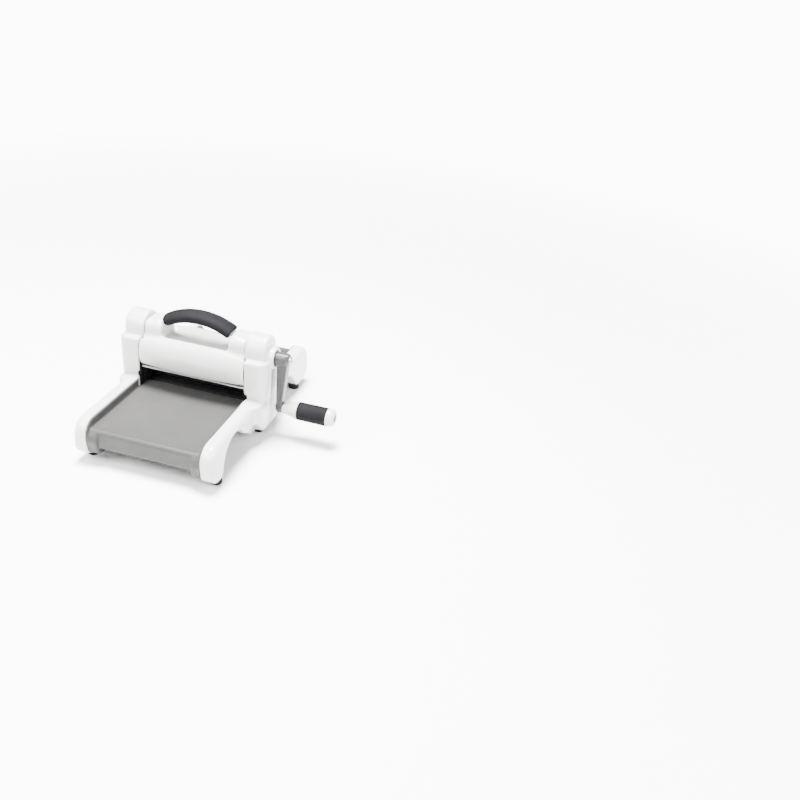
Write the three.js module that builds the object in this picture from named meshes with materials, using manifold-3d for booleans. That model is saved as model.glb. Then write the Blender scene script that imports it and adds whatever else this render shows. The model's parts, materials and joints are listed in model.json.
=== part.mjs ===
// A hand-cranked die cutting machine for paper crafts: two steel rollers, geared together between two
// side housings, squeeze a stack of cutting pads and a die as the crank carries it across the trays.
// Millimetres. X runs from the plain side to the crank side, Y from the front tray to the rear one, Z up.
import * as THREE from "three";
import { mergeVertices } from "three/addons/utils/BufferGeometryUtils.js";
import Module from "manifold-3d";

const wasm = await Module();
wasm.setup();

// ---------------------------------------------------------------- driving dimensions
const FIT = 0.3; // gap kept between separate pieces that touch
const WALL = 2.5; // thickness of the moulded shells

const OPENING = 157; // clear width between the two side housings
const SIDE = OPENING / 2; // inner face of each housing
const OUTER = 112; // outermost reach of each housing
const NOSE = 171; // reach of the trays and legs, front and rear
const DECK = 51.5; // height of the tray surface
const NIP = 17; // clear height between the rollers

const ROLLER_R = 15.5;
const JOURNAL_R = 7;
const LOWER_Z = DECK + 1.5 - ROLLER_R; // the lower roller stands 1.5 proud of the deck
const UPPER_Z = LOWER_Z + 2 * ROLLER_R + NIP;

const PRESSURE_ANGLE = THREE.MathUtils.degToRad(20);
const SYNC_TEETH = 24;
const SYNC_MODULE = (UPPER_Z - LOWER_Z) / SYNC_TEETH;
const DRIVE_MODULE = 1.5;
const DRIVE_TEETH = 36;
const PINION_TEETH = 14;
const CRANK_Z = UPPER_Z + (DRIVE_MODULE * (DRIVE_TEETH + PINION_TEETH)) / 2;
const CRANK_THROW = 76; // crank shaft to grip axis
const GRIP_Z = CRANK_Z - CRANK_THROW;

const FOOT_R = 8.5;
const FOOT_X = 89.5;
const FRONT_FOOT_Y = -141;
const REAR_FOOT_Y = 137; // the middle feet stand under the rollers
const LEG_BOTTOM = 11;
const BASE_BOTTOM = 7;

const BODY_TOP = 125; // shoulder of each tower
const HEAD_R = 21.5; // rounded head above the shoulder
const HEAD_Z = 133;
const HEAD_IN = 76;
const HEAD_OUT = 105.5;
const HUB_FACE = 114.5; // face of the ring round the crank shaft
const HUB_R = 15;
const HUB_BORE = 10.7;

const TIE_Y = 18; // four tie rods hold the steel plates together
const TIE_R = 3.5;
const TIE_LOW = 20;
const TIE_HIGH = 106;

const LEG_IN = 81;
const LEG_OUT = 100;
const LEG_TOP = 65;

const ARM_IN = 117;
const ARM_OUT = 126; // outer face of the crank arm at the grip
const ARM_TOP_OUT = 133.5; // and at the shaft
const GRIP_END = 203.5; // outer end of the crank grip

// ---------------------------------------------------------------- materials
const finish = (color, roughness, metalness = 0) =>
  new THREE.MeshStandardMaterial({ color, roughness, metalness });
const WHITE = finish(0xf0f0ed, 0.3);
const TRAY_GREY = finish(0xa3a39f, 0.45);
const GRIP_GREY = finish(0x4d5056, 0.7);
const CRANK_GREY = finish(0x8e8f92, 0.4, 0.3);
const CAP_GREY = finish(0x9a9b9d, 0.5);
const STEEL = finish(0xb8babd, 0.3, 1);
const ROLLER_GREY = finish(0x55575a, 0.4, 0.8);
const PLATE = finish(0x3a3c3f, 0.5, 0.8);
const GEAR_STEEL = finish(0x85878a, 0.4, 1);
const BRONZE = finish(0xa07c4a, 0.45, 1);
const BLACK = finish(0x161617, 0.6);
const RUBBER = finish(0x1b1b1c, 0.85);

// ---------------------------------------------------------------- outlines
const { PI, cos, sin, hypot, atan2, asin, ceil, abs, tan } = Math;
const SAGITTA = 0.3; // how far a chord may stand off the arc it replaces

// A belt round pulleys [u, v, r], anticlockwise: r above 0 turns outwards, r below 0 is a hollow.
// Taking `inset` off every radius moves the whole outline inwards by that much.
function belt(pulleys, inset = 0) {
  const wheels = pulleys.map(([u, v, r]) => ({ u, v, r: r - inset }));
  const headings = wheels.map((a, i) => {
    const b = wheels[(i + 1) % wheels.length];
    const away = hypot(b.u - a.u, b.v - a.v);
    return atan2(b.v - a.v, b.u - a.u) + asin((a.r - b.r) / away);
  });
  return wheels.flatMap((w, i) => {
    const from = headings[(i + wheels.length - 1) % wheels.length];
    let turn = (headings[i] - from) % (2 * PI);
    if (w.r > 0 && turn < -1e-9) turn += 2 * PI;
    if (w.r < 0 && turn > 1e-9) turn -= 2 * PI;
    const step = 2 * Math.acos(1 - Math.min(0.075, SAGITTA / abs(w.r)));
    const steps = Math.max(1, ceil(abs(turn) / step));
    return Array.from({ length: steps + 1 }, (_, k) => {
      const heading = from + (turn * k) / steps;
      return [w.u + w.r * sin(heading), w.v - w.r * cos(heading)];
    });
  });
}

const circle = (u, v, r, sides = 24) =>
  Array.from({ length: sides }, (_, k) => {
    const angle = (2 * PI * k) / sides;
    return [u + r * cos(angle), v + r * sin(angle)];
  });

// One tooth after another: root, involute flank and tip, then the other flank mirrored.
function gearOutline(teeth, module, phase) {
  const pitchR = (module * teeth) / 2;
  const baseR = pitchR * cos(PRESSURE_ANGLE);
  const tipR = pitchR + 0.9 * module;
  const rootR = pitchR - 1.25 * module;
  const backlash = 0.14 * module;
  const involute = (r) => {
    const pressure = Math.acos(Math.min(1, baseR / r));
    return tan(pressure) - pressure;
  };
  const halfAtPitch = PI / (2 * teeth) - backlash / (2 * pitchR);
  const flank = [rootR, pitchR, tipR].map((r) => ({
    r,
    half: halfAtPitch + involute(pitchR) - involute(Math.max(r, baseR)),
  }));
  return Array.from({ length: teeth }, (_, k) => phase + (2 * PI * k) / teeth).flatMap((centre) => [
    ...flank.map(({ r, half }) => [r * cos(centre - half), r * sin(centre - half)]),
    ...flank.toReversed().map(({ r, half }) => [r * cos(centre + half), r * sin(centre + half)]),
  ]);
}

// ---------------------------------------------------------------- solids
const toShape = (points) => new THREE.Shape(points.map(([u, v]) => new THREE.Vector2(u, v)));

function extrude(points, length, holes = []) {
  const shape = toShape(points);
  shape.holes = holes.map((hole) => new THREE.Path(hole.map(([u, v]) => new THREE.Vector2(u, v))));
  return new THREE.ExtrudeGeometry(shape, { depth: length, bevelEnabled: false });
}

const axes = (u, v, w) => new THREE.Matrix4().makeBasis(u, v, w);
const X = new THREE.Vector3(1, 0, 0);
const Y = new THREE.Vector3(0, 1, 0);
const Z = new THREE.Vector3(0, 0, 1);

// Outlines are given as (y, z), (x, z) and (x, y) for a length along X, Y and Z.
const alongX = (points, x0, x1, holes) =>
  extrude(points, x1 - x0, holes).applyMatrix4(axes(Y, Z, X)).translate(x0, 0, 0);
const alongY = (points, y0, y1, holes) =>
  extrude(points, y1 - y0, holes).applyMatrix4(axes(X, Z, Y.clone().negate())).translate(0, y1, 0);
const alongZ = (points, z0, z1, holes) => extrude(points, z1 - z0, holes).translate(0, 0, z0);

const block = (x0, x1, y0, y1, z0, z1) =>
  new THREE.BoxGeometry(x1 - x0, y1 - y0, z1 - z0).translate((x0 + x1) / 2, (y0 + y1) / 2, (z0 + z1) / 2);

// A profile of [distance from the axis, place along it], turned about an axis along X or Z.
const turned = (profile, segments) =>
  new THREE.LatheGeometry(
    profile.map(([r, h]) => new THREE.Vector2(r, h)),
    segments,
  );
const turnedX = (profile, y, z, segments = 28) =>
  turned(profile, segments).applyMatrix4(axes(Y, X, Z.clone().negate())).translate(0, y, z);
const turnedZ = (profile, x, y, segments = 20) =>
  turned(profile, segments).applyMatrix4(axes(X, Z, Y.clone().negate())).translate(x, y, 0);
const tubeX = (inner, outer, x0, x1, y, z, segments) =>
  turnedX(
    [
      [inner, x0],
      [outer, x0],
      [outer, x1],
      [inner, x1],
      [inner, x0],
    ],
    y,
    z,
    segments,
  );
const rodX = (r, x0, x1, y, z, segments) =>
  turnedX(
    [
      [0, x0],
      [r, x0],
      [r, x1],
      [0, x1],
    ],
    y,
    z,
    segments,
  );
const rodZ = (r, z0, z1, x, y, segments) =>
  turnedZ(
    [
      [0, z0],
      [r, z0],
      [r, z1],
      [0, z1],
    ],
    x,
    y,
    segments,
  );

// A closed skin over a grid of points: rows[i][j] is a THREE.Vector3, and each row closes on itself.
function skin(rows) {
  const count = rows[0].length;
  const position = rows.flat().flatMap((p) => p.toArray());
  const index = [];
  for (let i = 0; i + 1 < rows.length; i++) {
    for (let j = 0; j < count; j++) {
      const [a, b] = [i * count + j, i * count + ((j + 1) % count)];
      index.push(a, b, b + count, a, b + count, a + count);
    }
  }
  const last = (rows.length - 1) * count;
  const flat = toTriangles(rows[0]);
  flat.forEach(([a, b, c]) => index.push(a, c, b, last + a, last + b, last + c));
  const made = new THREE.BufferGeometry();
  made.setAttribute("position", new THREE.Float32BufferAttribute(position, 3));
  made.setIndex(index);
  return made;
}

// The end faces of a skin, by their outline in the plane across X.
const toTriangles = (row) =>
  THREE.ShapeUtils.triangulateShape(
    row.map((p) => new THREE.Vector2(p.y, p.z)),
    [],
  );

function solid(geometry) {
  const plain = new THREE.BufferGeometry();
  plain.setAttribute("position", geometry.getAttribute("position"));
  plain.setIndex(geometry.getIndex());
  const merged = mergeVertices(plain, 1e-4);
  return new wasm.Manifold(
    new wasm.Mesh({
      numProp: 3,
      vertProperties: merged.getAttribute("position").array,
      triVerts: new Uint32Array(merged.getIndex().array),
    }),
  );
}

const join = (...geometries) => geometries.map(solid).reduce((all, next) => all.add(next));
const cut = (body, ...geometries) => geometries.map(solid).reduce((left, next) => left.subtract(next), body);

function toGeometry(body) {
  const mesh = body.getMesh();
  const made = new THREE.BufferGeometry();
  made.setAttribute("position", new THREE.BufferAttribute(mesh.vertProperties, 3));
  made.setIndex(new THREE.BufferAttribute(mesh.triVerts, 1));
  return made;
}

const machine = new THREE.Group();

function add(name, shape, material) {
  const geometry = shape.isBufferGeometry ? shape : toGeometry(shape);
  const mesh = new THREE.Mesh(geometry, material);
  mesh.name = name;
  machine.add(mesh);
  return mesh;
}

// The same piece on the other side of the machine.
const mirrored = (body) => (body.isBufferGeometry ? solid(body) : body).mirror([1, 0, 0]);
const turnedAbout = (body) => (body.isBufferGeometry ? solid(body) : body).rotate([0, 0, 180]);

// ---------------------------------------------------------------- side housings
// The leg seen from the side, as pulleys from the front toe to the rear one. The rear arch is narrower.
const frontLeg = [
  [-NOSE + 18, LEG_BOTTOM + 16, 16],
  [-NOSE + 26, LEG_BOTTOM + 6, 6],
  [-99, 11.5, -39.5],
  [-60, 35, 4],
];
const rearLeg = [
  [60, 35, 4],
  [88, 11.5, -30],
  [130, LEG_BOTTOM + 6, 6],
  [NOSE - 18, LEG_BOTTOM + 16, 16],
];
const noseTop = [
  [NOSE - 22, LEG_TOP - 22, 22],
  [-NOSE + 22, LEG_TOP - 22, 22],
];
const legPulleys = [...frontLeg, ...rearLeg, ...noseTop];

const HEAD_PROFILE = [
  [-HEAD_R + 4, BODY_TOP - 8, 4],
  [HEAD_R - 4, BODY_TOP - 8, 4],
  [0.01, HEAD_Z, HEAD_R],
  [-0.01, HEAD_Z, HEAD_R],
];

// A moulded block is what three outlines have in common: from above, from the side, from the front.
const moulded = (plan, side, front, inset) =>
  solid(alongZ(belt(plan, inset), 0, 200))
    .intersect(solid(alongX(belt(side, inset), 0, 200)))
    .intersect(solid(alongY(belt(front, inset), -100, 100)));

// The tower has two round columns, front and rear, with a valley between them, and bulges at mid height.
const COLUMN_R = 16.5;
const SHOULDER_R = 6;
const TOWER_LOW = 56;
const BARREL_R = 90; // radius of the bulge
const tower = {
  plan: [
    [SIDE + 3, -2 * COLUMN_R + 3, 3],
    [OUTER - COLUMN_R, -COLUMN_R, COLUMN_R],
    [OUTER - 2.8, 0, -4],
    [OUTER - COLUMN_R, COLUMN_R, COLUMN_R],
    [SIDE + 3, 2 * COLUMN_R - 3, 3],
  ],
  side: [
    [-24, TOWER_LOW + 3, 3],
    [24, TOWER_LOW + 3, 3],
    [33 - BARREL_R, 92, BARREL_R],
    [32 - SHOULDER_R, BODY_TOP - SHOULDER_R, SHOULDER_R],
    [-32 + SHOULDER_R, BODY_TOP - SHOULDER_R, SHOULDER_R],
    [BARREL_R - 33, 92, BARREL_R],
  ],
  front: [
    [SIDE + 3, TOWER_LOW + 3, 3],
    [OUTER - 9, TOWER_LOW + 3, 3],
    [OUTER - BARREL_R, 92, BARREL_R],
    [OUTER - 2 - SHOULDER_R, BODY_TOP - SHOULDER_R, SHOULDER_R],
    [SIDE + 3, BODY_TOP - 3, 3],
  ],
};

// Below it the base swells forward and back over the legs and rounds under to the middle foot.
const BASE_OUT = 109;
const BASE_HALF = 48;
const base = {
  plan: [
    [SIDE + 6, 6 - BASE_HALF, 6],
    [BASE_OUT - 16, 16 - BASE_HALF, 16],
    [BASE_OUT - 14, -14, 14],
    [BASE_OUT - 1, 0, -4],
    [BASE_OUT - 14, 14, 14],
    [BASE_OUT - 16, BASE_HALF - 16, 16],
    [SIDE + 6, BASE_HALF - 6, 6],
  ],
  side: [
    [-2, BASE_BOTTOM + 27, 27],
    [2, BASE_BOTTOM + 27, 27],
    [BASE_HALF - 12, BASE_BOTTOM + 40, 12],
    [BASE_HALF - 5, LEG_TOP - 5, 5],
    [5 - BASE_HALF, LEG_TOP - 5, 5],
    [12 - BASE_HALF, BASE_BOTTOM + 40, 12],
  ],
  front: [
    [LEG_IN + 3, BASE_BOTTOM + 3, 3],
    [BASE_OUT - 18, BASE_BOTTOM + 18, 18],
    [BASE_OUT - 6, LEG_TOP - 6, 6],
    [LEG_IN + 3, LEG_TOP - 3, 3],
  ],
};
// Between the leg tops and the foot the tower's inner wall runs straight down.
const innerWall = [
  [-24, BASE_BOTTOM + 9, 9],
  [24, BASE_BOTTOM + 9, 9],
  [24, 80, 4],
  [-24, 80, 4],
];

const housingShape = (inset) =>
  solid(alongX(belt(legPulleys, inset), LEG_IN + (inset ? -1 : 0), LEG_OUT - inset))
    .add(moulded(tower.plan, tower.side, tower.front, inset))
    .add(moulded(base.plan, base.side, base.front, inset))
    .add(solid(alongX(belt(innerWall, inset), SIDE + inset, LEG_IN + 8)))
    .add(solid(alongX(belt(HEAD_PROFILE, inset), HEAD_IN + inset, HEAD_OUT - inset)));

// The plain side has no hub ring and no bore for the crank.
function housing(hasHub) {
  const hub = rodX(HUB_R, HEAD_OUT - 10, HUB_FACE, 0, CRANK_Z, 32);
  const bore = rodX(HUB_BORE, HEAD_OUT - 12, HUB_FACE + 1, 0, CRANK_Z, 32);
  const outside = hasHub ? housingShape(0).add(solid(hub)) : housingShape(0);
  return cut(
    outside.subtract(housingShape(WALL)),
    alongX(belt(innerDoor), SIDE - 1, SIDE + 2 * WALL),
    ...footPlaces.map(([x, y]) => rodZ(2.3, 0, 20, x, y, 16)),
    ...(hasHub ? [bore] : []),
  );
}

// The opening in the inner side of each tower, closed by a panel.
const innerDoor = [
  [-24, 18, 6],
  [24, 18, 6],
  [24, 112, 6],
  [-24, 112, 6],
];
const footPlaces = [FRONT_FOOT_Y, 0, REAR_FOOT_Y].map((y) => [FOOT_X, y]);

const tiePlaces = [
  ["lower_front", -TIE_Y, TIE_LOW],
  ["lower_rear", TIE_Y, TIE_LOW],
  ["upper_front", -TIE_Y, TIE_HIGH],
  ["upper_rear", TIE_Y, TIE_HIGH],
];

add("right_side_housing", housing(true), WHITE);
add("left_side_housing", mirrored(housing(false)), WHITE);

const panelHoles = [
  ...[LOWER_Z, UPPER_Z].map((z) => circle(0, z, 12)),
  ...tiePlaces.map(([, y, z]) => circle(y, z, TIE_R + FIT, 12)),
];
const innerPanel = alongX(belt(innerDoor, FIT), SIDE + FIT, SIDE + FIT + 1.6, panelHoles);
add("right_inner_panel", innerPanel, BLACK);
add("left_inner_panel", mirrored(innerPanel), BLACK);

// ---------------------------------------------------------------- steel frame
const PLATE_IN = SIDE + 2.6;
const PLATE_OUT = PLATE_IN + 3;
const platePulleys = [
  [-TIE_Y + 1, TIE_LOW, 8],
  [TIE_Y - 1, TIE_LOW, 8],
  [TIE_Y - 1, TIE_HIGH, 8],
  [3, CRANK_Z, 12],
  [-3, CRANK_Z, 12],
  [-TIE_Y + 1, TIE_HIGH, 8],
];
const BUSH_R = 10;
const rollerHoles = [LOWER_Z, UPPER_Z].map((z) => circle(0, z, BUSH_R + FIT));
const tieHoles = tiePlaces.map(([, y, z]) => circle(y, z, TIE_R + FIT, 12));
const sidePlate = (holes) =>
  alongX(belt(platePulleys), PLATE_IN, PLATE_OUT, [...rollerHoles, ...tieHoles, ...holes]);
add("right_side_plate", sidePlate([circle(0, CRANK_Z, BUSH_R + FIT)]), PLATE);
add("left_side_plate", mirrored(sidePlate([])), PLATE);

const NUT_R = 5.6;
const NUT_LENGTH = 4.2;
for (const [place, y, z] of tiePlaces) {
  const reach = PLATE_OUT + FIT + NUT_LENGTH + 0.2;
  add(`tie_rod_${place}`, rodX(TIE_R, -reach, reach, y, z, 16), STEEL);
  const nut = alongX(circle(y, z, NUT_R, 6), PLATE_OUT + FIT, PLATE_OUT + FIT + NUT_LENGTH, [
    circle(y, z, TIE_R + FIT, 12),
  ]);
  add(`tie_rod_nut_${place}_right`, nut, STEEL);
  add(`tie_rod_nut_${place}_left`, mirrored(nut), STEEL);
}

// ---------------------------------------------------------------- rollers and their bushes
const BARREL = SIDE - 1.5; // half the length of a roller barrel
const GEAR_IN = PLATE_OUT + 6;
const GEAR_WIDTH = 7;
const JOURNAL_END = GEAR_IN + GEAR_WIDTH + 2.5;

const roller = (z, right, left) =>
  turnedX(
    [
      [0, -left],
      [JOURNAL_R, -left],
      [JOURNAL_R, -BARREL],
      [ROLLER_R - 1, -BARREL],
      [ROLLER_R, -BARREL + 1],
      [ROLLER_R, BARREL - 1],
      [ROLLER_R - 1, BARREL],
      [JOURNAL_R, BARREL],
      [JOURNAL_R, right],
      [0, right],
    ],
    0,
    z,
    36,
  );
add("upper_roller", roller(UPPER_Z, JOURNAL_END, JOURNAL_END), ROLLER_GREY);
add("lower_roller", roller(LOWER_Z, PLATE_OUT + 2, JOURNAL_END), ROLLER_GREY);

const bush = (z, inner) => tubeX(inner, BUSH_R, PLATE_IN - 0.4, PLATE_OUT + 1, 0, z, 32);
for (const [place, z] of [
  ["upper", UPPER_Z],
  ["lower", LOWER_Z],
]) {
  add(`${place}_roller_bush_right`, bush(z, JOURNAL_R + FIT), BRONZE);
  add(`${place}_roller_bush_left`, mirrored(bush(z, JOURNAL_R + FIT)), BRONZE);
}

// ---------------------------------------------------------------- gears
const UP = PI / 2;
function gear(teeth, module, z, tooth, bore) {
  const outline = gearOutline(teeth, module, tooth).map(([u, v]) => [u, v + z]);
  return alongX(outline, GEAR_IN, GEAR_IN + GEAR_WIDTH, [circle(0, z, bore + FIT, 24)]);
}
const halfTooth = (teeth) => PI / teeth;
const syncGear = (z, tooth) => mirrored(gear(SYNC_TEETH, SYNC_MODULE, z, tooth, JOURNAL_R));
add("roller_drive_gear", gear(DRIVE_TEETH, DRIVE_MODULE, UPPER_Z, UP, JOURNAL_R), GEAR_STEEL);
add("upper_sync_gear", syncGear(UPPER_Z, UP + halfTooth(SYNC_TEETH)), GEAR_STEEL);
add("lower_sync_gear", syncGear(LOWER_Z, UP), GEAR_STEEL);

const SHAFT_R = 5;
add(
  "crank_pinion",
  gear(PINION_TEETH, DRIVE_MODULE, CRANK_Z, UP + halfTooth(PINION_TEETH), SHAFT_R),
  GEAR_STEEL,
);

// ---------------------------------------------------------------- crank
const SHAFT_END = ARM_IN + 3;
const SCREW_R = 2.5;
add(
  "crank_shaft",
  cut(
    join(rodX(SHAFT_R, SIDE + 2.4, SHAFT_END, 0, CRANK_Z, 28)),
    rodX(SCREW_R + FIT, SHAFT_END - 12, SHAFT_END + 1, 0, CRANK_Z, 16),
  ),
  STEEL,
);
add("crank_shaft_bush", bush(CRANK_Z, SHAFT_R + FIT), BRONZE);
const hubBush = tubeX(SHAFT_R + FIT, HUB_BORE - FIT, HEAD_OUT - 6, HUB_FACE - 3, 0, CRANK_Z, 32);
add("crank_hub_bush", hubBush, BLACK);

// The arm from the side, and from the front, where it grows thicker towards the shaft.
const SPINDLE_R = 3.5;
const armSide = [
  [-0.01, GRIP_Z, 7],
  [0.01, GRIP_Z, 7],
  [0, CRANK_Z + 3, 6.5],
];
const armFront = [
  [ARM_IN + 2, GRIP_Z - 5, 2],
  [ARM_OUT - 2, GRIP_Z - 5, 2],
  [ARM_OUT + 8, GRIP_Z + 10, -8],
  [ARM_TOP_OUT - 3, CRANK_Z + 7, 3],
  [ARM_IN + 2, CRANK_Z + 8, 2],
];
const arm = solid(alongX(belt(armSide), ARM_IN - 1, ARM_TOP_OUT + 1))
  .intersect(solid(alongY(belt(armFront), -10, 10)))
  .add(solid(rodX(9.5, HUB_FACE - 2, ARM_TOP_OUT - 2.5, 0, CRANK_Z, 32)))
  .add(solid(rodX(8, ARM_IN + 0.5, ARM_OUT - 0.5, 0, GRIP_Z, 28)));
add(
  "crank_arm",
  cut(
    arm,
    rodX(SHAFT_R + FIT, HUB_FACE - 4, SHAFT_END + FIT, 0, CRANK_Z, 28),
    rodX(SCREW_R + FIT, SHAFT_END, ARM_TOP_OUT + 1, 0, CRANK_Z, 16),
    rodX(SPINDLE_R + FIT, ARM_IN - 1, ARM_OUT + 1, 0, GRIP_Z, 20),
  ),
  CRANK_GREY,
);
add(
  "crank_screw",
  cut(
    join(
      turnedX(
        [
          [0, SHAFT_END - 10],
          [SCREW_R, SHAFT_END - 10],
          [SCREW_R, ARM_TOP_OUT + FIT],
          [5.5, ARM_TOP_OUT + FIT],
          [5.5, ARM_TOP_OUT + 1.6],
          [4, ARM_TOP_OUT + 3],
          [0, ARM_TOP_OUT + 3],
        ],
        0,
        CRANK_Z,
        24,
      ),
    ),
    alongX(circle(0, CRANK_Z, 2.3, 6), ARM_TOP_OUT + 1, ARM_TOP_OUT + 4),
  ),
  STEEL,
);

const SLEEVE_IN = 149.5;
const SLEEVE_OUT = 192;
const SLEEVE_R = 13;
const CORE_R = 10.5;
const BOSS_OUT = GRIP_END - 7; // outer end of the spindle's head
add(
  "grip_spindle",
  turnedX(
    [
      [0, ARM_IN - 2.6],
      [6, ARM_IN - 2.6],
      [6, ARM_IN - FIT],
      [SPINDLE_R, ARM_IN - FIT],
      [SPINDLE_R, BOSS_OUT - 2],
      [5.5, BOSS_OUT - 2],
      [5.5, BOSS_OUT],
      [0, BOSS_OUT],
    ],
    0,
    GRIP_Z,
    24,
  ),
  STEEL,
);
add(
  "grip_core",
  turnedX(
    [
      [SPINDLE_R + FIT, ARM_OUT + FIT],
      [8, ARM_OUT + FIT],
      [8.6, ARM_OUT + 6],
      [12, SLEEVE_IN - 5],
      [SLEEVE_R, SLEEVE_IN - 2],
      [SLEEVE_R, SLEEVE_IN - FIT],
      [CORE_R, SLEEVE_IN - FIT],
      [CORE_R, SLEEVE_OUT],
      [SPINDLE_R + FIT, SLEEVE_OUT],
      [SPINDLE_R + FIT, ARM_OUT + FIT],
    ],
    0,
    GRIP_Z,
  ),
  WHITE,
);
add("grip_sleeve", tubeX(CORE_R + FIT, SLEEVE_R, SLEEVE_IN, SLEEVE_OUT, 0, GRIP_Z), GRIP_GREY);
add(
  "grip_end_cap",
  turnedX(
    [
      [SPINDLE_R + FIT, SLEEVE_OUT + FIT],
      [SLEEVE_R, SLEEVE_OUT + FIT],
      [SLEEVE_R, GRIP_END - 6],
      [SLEEVE_R - 1.4, GRIP_END - 2.4],
      [SLEEVE_R - 5, GRIP_END],
      [6.3, GRIP_END],
      [6.3, BOSS_OUT - 2 - FIT],
      [SPINDLE_R + FIT, BOSS_OUT - 2 - FIT],
      [SPINDLE_R + FIT, SLEEVE_OUT + FIT],
    ],
    0,
    GRIP_Z,
  ),
  WHITE,
);
add("grip_plug", rodX(6, BOSS_OUT + FIT, GRIP_END - 0.5, 0, GRIP_Z, 24), CAP_GREY);

// ---------------------------------------------------------------- trays
const RAIL_TOP = LEG_TOP - 1;
const RAIL_OUT = LEG_IN - FIT;
const RAIL_IN = RAIL_OUT - 2;
const CHEEK_IN = 66;
const DECK_SIDE = SIDE - FIT;
const DECK_EDGE = 12.5; // how near the deck comes to the roller's axis
const SKIRT_Y = NOSE - 6.5;
const SKIRT_LOW = 27;
const CHEEK_LOW = LEG_BOTTOM + 2;
const cheekPulleys = [
  [-NOSE + 18, CHEEK_LOW + 15, 15],
  [-NOSE + 26, CHEEK_LOW + 6, 6],
  [-131, DECK - 12, 3],
  [-131, DECK - 3, 3],
  [-NOSE + 16, DECK - 14, 15],
];
// Deck, rolled front lip and skirt in one section.
const deckSection = [
  [-DECK_EDGE, DECK - 3],
  [-DECK_EDGE, DECK],
  [-SKIRT_Y + 9, DECK],
  [-SKIRT_Y + 6, DECK + 1.2],
  [-SKIRT_Y + 3, DECK + 0.8],
  [-SKIRT_Y + 0.8, DECK - 1.4],
  [-SKIRT_Y, DECK - 4.5],
  [-SKIRT_Y, SKIRT_LOW],
  [-SKIRT_Y + 2.5, SKIRT_LOW],
  [-SKIRT_Y + 2.5, DECK - 5],
  [-SKIRT_Y + 5, DECK - 3],
].toReversed();

// Ribs across the tray, [y, depth]; the first is an apron that closes the view past the roller.
const crossRibs = [
  [-19.5, 20],
  [-60, 10],
  [-110, 10],
];

function frontTray() {
  const legSide = solid(alongX(belt(legPulleys, 0.6), RAIL_IN, RAIL_OUT));
  const rail = legSide
    .intersect(solid(block(RAIL_IN, RAIL_OUT, -NOSE, -36, DECK - 3, RAIL_TOP)))
    .add(legSide.intersect(solid(block(RAIL_IN, RAIL_OUT, -NOSE, -131, 0, RAIL_TOP))));
  // Each cheek is a hollow box, open below.
  const cheek = (x0, x1) =>
    cut(
      join(alongX(belt(cheekPulleys), x0, x1)),
      alongX(belt(cheekPulleys, WALL), x0 + WALL, x1 - WALL),
      block(x0 + WALL, x1 - WALL, -152, -140, 0, CHEEK_LOW + 9),
    );
  const tray = join(
    alongX(deckSection, -DECK_SIDE, DECK_SIDE),
    block(-RAIL_OUT, RAIL_OUT, -SKIRT_Y + 6, -36, DECK - 3, DECK),
    ...[-40, 0, 40].map((x) => block(x - 1, x + 1, -SKIRT_Y + 1, -20, DECK - 10, DECK - 2.5)),
    ...crossRibs.map(([y, deep]) => block(-DECK_SIDE, DECK_SIDE, y - 1, y + 1, DECK - deep, DECK - 2.5)),
  );
  const side = rail.add(cheek(CHEEK_IN, RAIL_OUT));
  return tray.add(side).add(mirrored(side));
}
const tray = frontTray();
add("front_tray", tray, TRAY_GREY);
add("rear_tray", turnedAbout(tray), TRAY_GREY);

// ---------------------------------------------------------------- covers and handle
const COVER_Z = 103;
const COVER_LOW = -0.56; // angles below and above the level of the cover's axis
const COVER_HIGH = 0.64;
const coverR = (x) => 33.6 + 3.6 * (1 - (x / SIDE) ** 2);
const coverTop = (x) => COVER_HIGH + 0.2 * (1 - (x / SIDE) ** 2);

// A bowed panel: its section is a band of an arc whose radius and upper end grow towards the middle.
function cover() {
  const half = SIDE - FIT;
  const rows = Array.from({ length: 15 }, (_, i) => {
    const x = -half + (2 * half * i) / 14;
    const arc = (r, steps) =>
      steps.map((k) => {
        const angle = COVER_LOW + ((coverTop(x) - COVER_LOW) * k) / 8;
        return new THREE.Vector3(x, -r * cos(angle), COVER_Z + r * sin(angle));
      });
    const up = Array.from({ length: 9 }, (_, k) => k);
    return [...arc(coverR(x), up.toReversed()), ...arc(coverR(x) - WALL, up)];
  });
  return skin(rows);
}
add("front_cover", cover(), WHITE);
add("rear_cover", turnedAbout(cover()), WHITE);

const GUIDE_Z = 80;
const guide = block(-DECK_SIDE, DECK_SIDE, -26, -23, GUIDE_Z - 2.2, GUIDE_Z);
add("front_guide_bar", guide, WHITE);
add("rear_guide_bar", turnedAbout(guide), WHITE);

const ARCH_R = 95;
const ARCH_TOP = 161; // centre of the handle section at mid span
const ARCH_Z = ARCH_TOP - ARCH_R;
const GRIP_HALF = 48.5; // half the span of the soft grip
const FRAME_END = HEAD_IN - FIT;
const FLOOR = 121;

// An oval section swept along the handle's arc, as far as `reach` to either side.
function handleSweep(reach, halfWidth, halfHeight) {
  const end = asin(reach / ARCH_R);
  const rows = Array.from({ length: 13 }, (_, i) => {
    const along = (end * (i - 6)) / 6;
    return circle(0, 0, 1, 16).map(([u, v]) => {
      const out = ARCH_R + v * halfHeight;
      return new THREE.Vector3(out * sin(along), u * halfWidth, ARCH_Z + out * cos(along));
    });
  });
  return skin(rows);
}

// A post seen from the front: its top slopes from the grip down to the tower's head.
const postPulleys = [
  [FRAME_END - 4, FLOOR - 1, 4],
  [FRAME_END - 4, 144, 4],
  [58, 143, 8],
  [38, FLOOR + 12, -12],
  [36, FLOOR - 2.5, 2.5],
];
// The post seen from the side.
const postSide = [
  [-15, FLOOR, 5],
  [15, FLOOR, 5],
  [5, 136, 15],
  [-5, 136, 15],
];

const GRIP_WIDE = 14.5; // half the width and half the thickness of the soft grip
const GRIP_THICK = 8.5;
const CORE_WIDE = 8;
const CORE_THICK = 4;

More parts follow.
